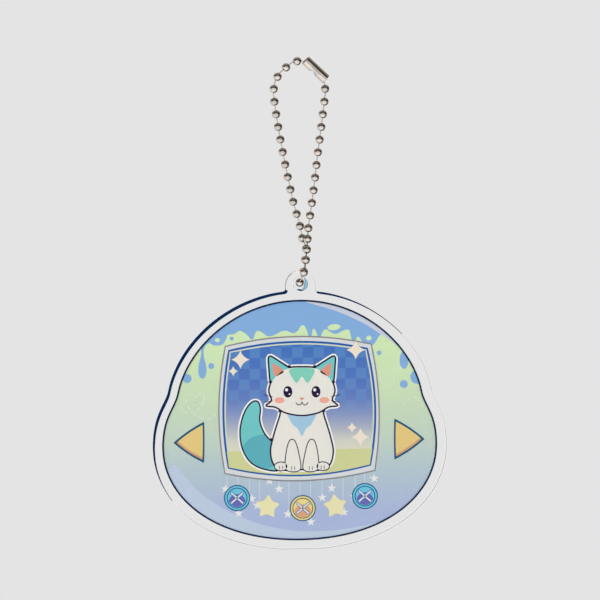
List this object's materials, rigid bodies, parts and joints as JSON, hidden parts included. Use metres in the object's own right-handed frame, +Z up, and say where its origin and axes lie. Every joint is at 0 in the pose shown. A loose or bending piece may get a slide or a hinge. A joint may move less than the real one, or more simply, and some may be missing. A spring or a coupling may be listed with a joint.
{
  "type": "virtual pet charm keychain",
  "caption": "Flat clear acrylic charm printed with an egg-shaped virtual pet toy, hung through its tab on a closed loop of ball chain with a sleeve clasp.",
  "frame": {"origin": "the hang point: the top of the inside of the chain loop, where a ring, hook or strap carries the keychain, in the mid-plane of the slab", "axes": "+Z up along the hanging keychain, from the charm to the clasp; +X to the right seen from the printed face; the printed face looks along -Y"},
  "size_m": [0.0772, 0.0081, 0.1291],
  "materials": {
    "clear_acrylic": "clear polished sheet with a laser-cut edge",
    "colour_print": "printed film seen through the slab: blue top over a mint green and lavender base, with a framed screen, arrows, buttons and stars",
    "white_backing": "even white film behind the colours",
    "chain_nickel": "nickel plated, bright",
    "clasp_nickel": "nickel plated rolled sheet, bright"
  },
  "bodies": {
    "clasp": {"clasp_sleeve": "clasp_nickel", "end_bead_left": "chain_nickel", "end_bead_right": "chain_nickel"},
    "charm": {"clear_acrylic_slab": "clear_acrylic", "colour_print_film": "colour_print", "white_backing_film": "white_backing"},
    "left_01": {"bead_left_01": "chain_nickel"},
    "left_02": {"bead_left_02": "chain_nickel"},
    "left_03": {"bead_left_03": "chain_nickel"},
    "level_01": {"bead_right_01": "chain_nickel", "bead_left_04": "chain_nickel"},
    "level_02": {"bead_right_02": "chain_nickel", "bead_left_05": "chain_nickel"},
    "level_03": {"bead_right_03": "chain_nickel", "bead_left_06": "chain_nickel"},
    "level_04": {"bead_right_04": "chain_nickel", "bead_left_07": "chain_nickel"},
    "level_05": {"bead_right_05": "chain_nickel", "bead_left_08": "chain_nickel"},
    "level_06": {"bead_right_06": "chain_nickel", "bead_left_09": "chain_nickel"},
    "level_07": {"bead_right_07": "chain_nickel", "bead_left_10": "chain_nickel"},
    "level_08": {"bead_right_08": "chain_nickel", "bead_left_11": "chain_nickel"},
    "level_09": {"bead_right_09": "chain_nickel", "bead_left_12": "chain_nickel"},
    "level_10": {"bead_right_10": "chain_nickel", "bead_left_13": "chain_nickel"},
    "level_11": {"bead_right_11": "chain_nickel", "bead_left_14": "chain_nickel"},
    "level_12": {"bead_right_12": "chain_nickel", "bead_left_15": "chain_nickel"},
    "level_13": {"bead_right_13": "chain_nickel", "bead_left_16": "chain_nickel"},
    "level_14": {"bead_right_14": "chain_nickel", "bead_left_17": "chain_nickel"},
    "level_15": {"bead_right_15": "chain_nickel", "bead_left_18": "chain_nickel"},
    "level_16": {"bead_right_16": "chain_nickel", "bead_left_19": "chain_nickel"},
    "level_17": {"bead_right_17": "chain_nickel", "bead_left_20": "chain_nickel", "closing_link": "chain_nickel"}
  },
  "joints": [
    {"name": "charm_swing", "type": "hinge", "parent": "level_17", "child": "charm", "pos_m": [0, 0, -0.05675], "axis": [0, 1, 0], "range_deg": [-35, 35]},
    {"name": "flex_level_01", "type": "hinge", "parent": "clasp", "child": "level_01", "pos_m": [-0.00015, 0, -0.00387], "axis": [1, 0, 0], "range_deg": [-20, 20]},
    {"name": "flex_level_02", "type": "hinge", "parent": "level_01", "child": "level_02", "pos_m": [-0.00025, 0, -0.00709], "axis": [-1, 0, 0], "range_deg": [-20, 20]},
    {"name": "flex_level_03", "type": "hinge", "parent": "level_02", "child": "level_03", "pos_m": [-0.00026, 0, -0.01039], "axis": [1, 0, 0], "range_deg": [-20, 20]},
    {"name": "flex_level_04", "type": "hinge", "parent": "level_03", "child": "level_04", "pos_m": [-0.00023, 0, -0.01369], "axis": [-1, 0, 0], "range_deg": [-20, 20]},
    {"name": "flex_level_05", "type": "hinge", "parent": "level_04", "child": "level_05", "pos_m": [-0.00017, 0, -0.01697], "axis": [1, 0, 0], "range_deg": [-20, 20]},
    {"name": "flex_level_06", "type": "hinge", "parent": "level_05", "child": "level_06", "pos_m": [-0.00009, 0, -0.02025], "axis": [-1, 0, 0], "range_deg": [-20, 20]},
    {"name": "flex_level_07", "type": "hinge", "parent": "level_06", "child": "level_07", "pos_m": [0.00001, 0, -0.02353], "axis": [1, 0, 0], "range_deg": [-20, 20]},
    {"name": "flex_level_08", "type": "hinge", "parent": "level_07", "child": "level_08", "pos_m": [0.00016, 0.00001, -0.02681], "axis": [-1, 0, 0], "range_deg": [-20, 20]},
    {"name": "flex_level_09", "type": "hinge", "parent": "level_08", "child": "level_09", "pos_m": [0.00031, 0.00002, -0.03008], "axis": [1, 0, 0], "range_deg": [-20, 20]},
    {"name": "flex_level_10", "type": "hinge", "parent": "level_09", "child": "level_10", "pos_m": [0.00045, 0.00002, -0.03335], "axis": [-1, 0, 0], "range_deg": [-20, 20]},
    {"name": "flex_level_11", "type": "hinge", "parent": "level_10", "child": "level_11", "pos_m": [0.00063, 0, -0.0366], "axis": [1, 0, 0], "range_deg": [-20, 20]},
    {"name": "flex_level_12", "type": "hinge", "parent": "level_11", "child": "level_12", "pos_m": [0.00084, 0, -0.03984], "axis": [-1, 0, 0], "range_deg": [-10, 10]},
    {"name": "flex_level_13", "type": "hinge", "parent": "level_12", "child": "level_13", "pos_m": [0.00105, 0.00001, -0.04307], "axis": [1, 0, 0], "range_deg": [-10, 10]},
    {"name": "flex_level_14", "type": "hinge", "parent": "level_13", "child": "level_14", "pos_m": [0.00133, 0.00002, -0.04602], "axis": [0, -1, 0], "range_deg": [-10, 10]},
    {"name": "flex_level_15", "type": "hinge", "parent": "level_14", "child": "level_15", "pos_m": [0.0015, 0, -0.04881], "axis": [0, 1, 0], "range_deg": [-20, 20]},
    {"name": "flex_level_16", "type": "hinge", "parent": "level_15", "child": "level_16", "pos_m": [0.00119, 0.00001, -0.05166], "axis": [0, -1, 0], "range_deg": [-20, 20]},
    {"name": "flex_level_17", "type": "hinge", "parent": "level_16", "child": "level_17", "pos_m": [0.00056, -0.00001, -0.05461], "axis": [0, 1, 0], "range_deg": [-20, 20]},
    {"name": "roll_left_01", "type": "hinge", "parent": "clasp", "child": "left_01", "pos_m": [0.00127, 0, 0.00066], "axis": [-1, 0, -0.0035], "range_deg": [-25, 25]},
    {"name": "roll_left_02", "type": "hinge", "parent": "clasp", "child": "left_02", "pos_m": [-0.00181, 0, 0.00065], "axis": [-0.8174, 0, -0.576], "range_deg": [-25, 25]},
    {"name": "roll_left_03", "type": "hinge", "parent": "clasp", "child": "left_03", "pos_m": [-0.00447, 0, -0.00122], "axis": [-0.5631, 0, -0.8264], "range_deg": [-25, 25]}
  ]
}
